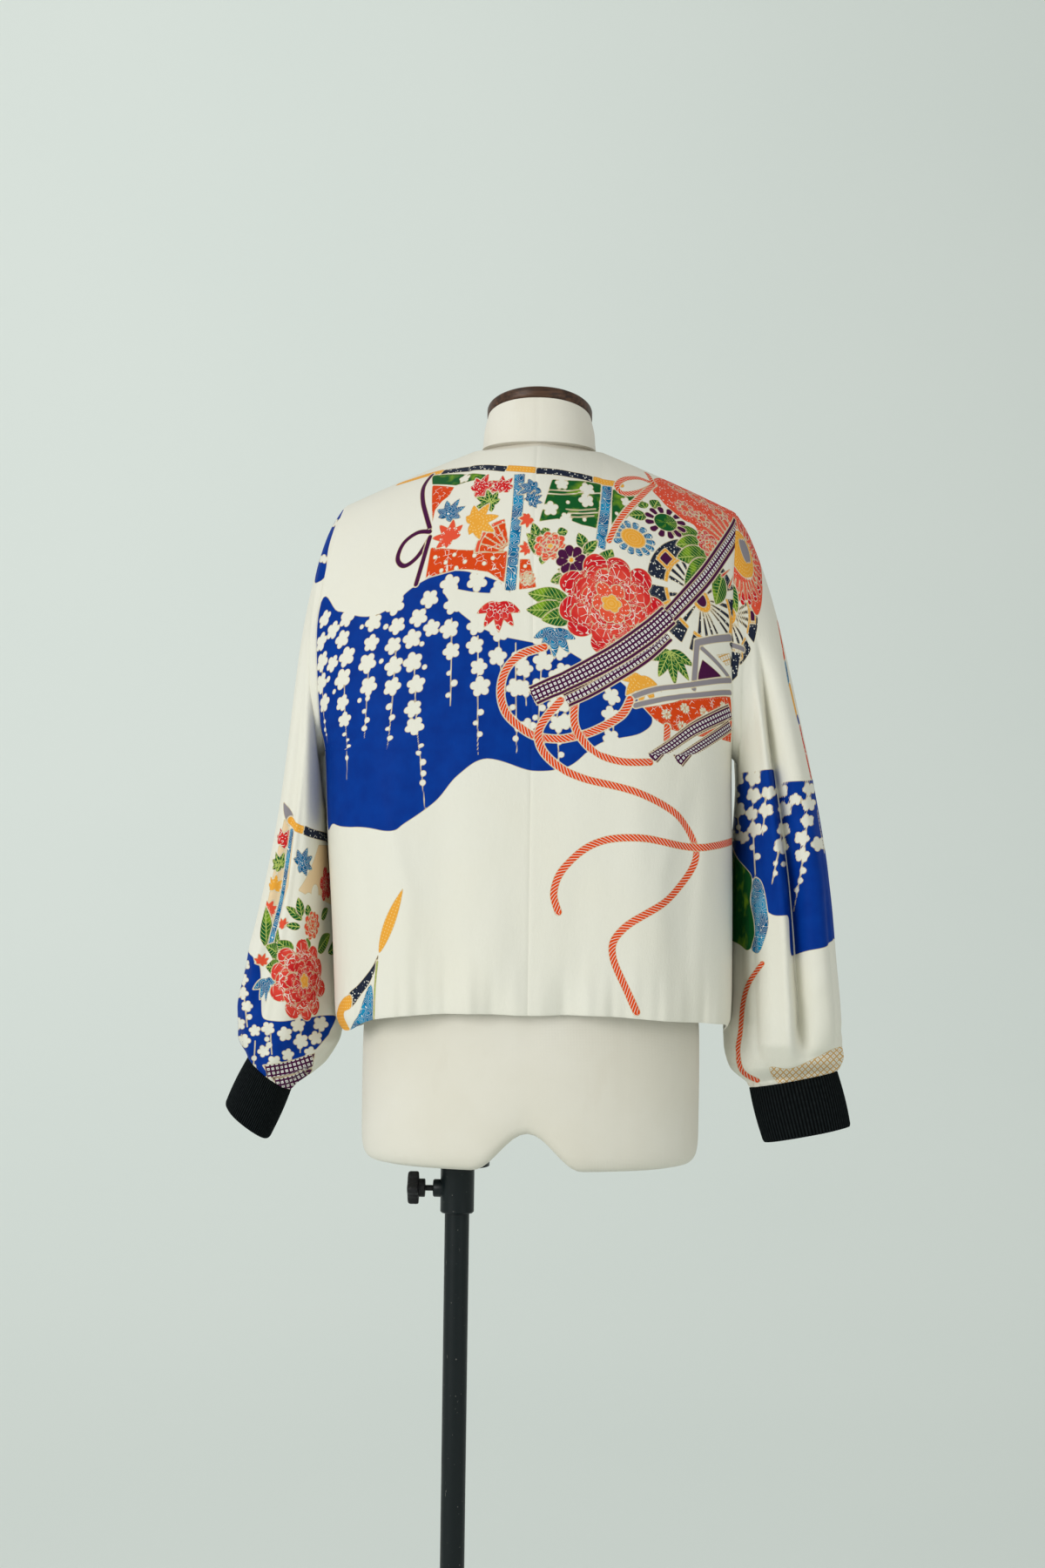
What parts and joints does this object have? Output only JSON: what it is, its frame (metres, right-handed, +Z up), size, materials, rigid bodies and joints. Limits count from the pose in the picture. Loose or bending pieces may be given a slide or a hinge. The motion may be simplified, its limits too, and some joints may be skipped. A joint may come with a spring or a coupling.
{
  "type": "kimono jacket on dress form stand",
  "caption": "Collarless silk blouson jacket with full sleeves and ribbed cuffs, worn by a limbless dress form on a pole stand with a round base.",
  "frame": {"origin": "centre of the base plate's underside, on the floor under the middle of the form", "axes": "+Z up, +Y the way the wearer faces, so the jacket's back faces -Y, and +X the wearer's right"},
  "size_m": [0.6518, 0.38, 1.493],
  "materials": {
    "silk": "cream silk crepe with a dyed many-coloured design",
    "rib": "black rib knit",
    "linen": "tight off-white cloth cover",
    "wood": "dark stained, satin",
    "black_steel": "black paint, half gloss",
    "black_plastic": "moulded, matt"
  },
  "bodies": {
    "stand": {"base_plate": "black_steel", "base_hub": "black_steel", "pole": "black_steel"},
    "form": {"dress_form": "linen", "neck_cap": "wood", "clamp_socket": "black_steel", "cuff_left": "rib", "cuff_right": "rib", "back_left": "silk", "back_right": "silk", "front_left": "silk", "front_right": "silk", "sleeve_left_back": "silk", "sleeve_left_front": "silk", "sleeve_right_back": "silk", "sleeve_right_front": "silk"},
    "knob": {"clamp_knob": "black_plastic"}
  },
  "joints": [
    {"name": "height_slide", "type": "slide", "parent": "stand", "child": "form", "axis": [0, 0, 1], "range_m": [-0.15, 0.15]},
    {"name": "knob_turn", "type": "hinge", "parent": "form", "child": "knob", "pos_m": [-0.0742, 0, 0.6698], "axis": [-1, 0, 0], "range_deg": [0, 360]}
  ]
}
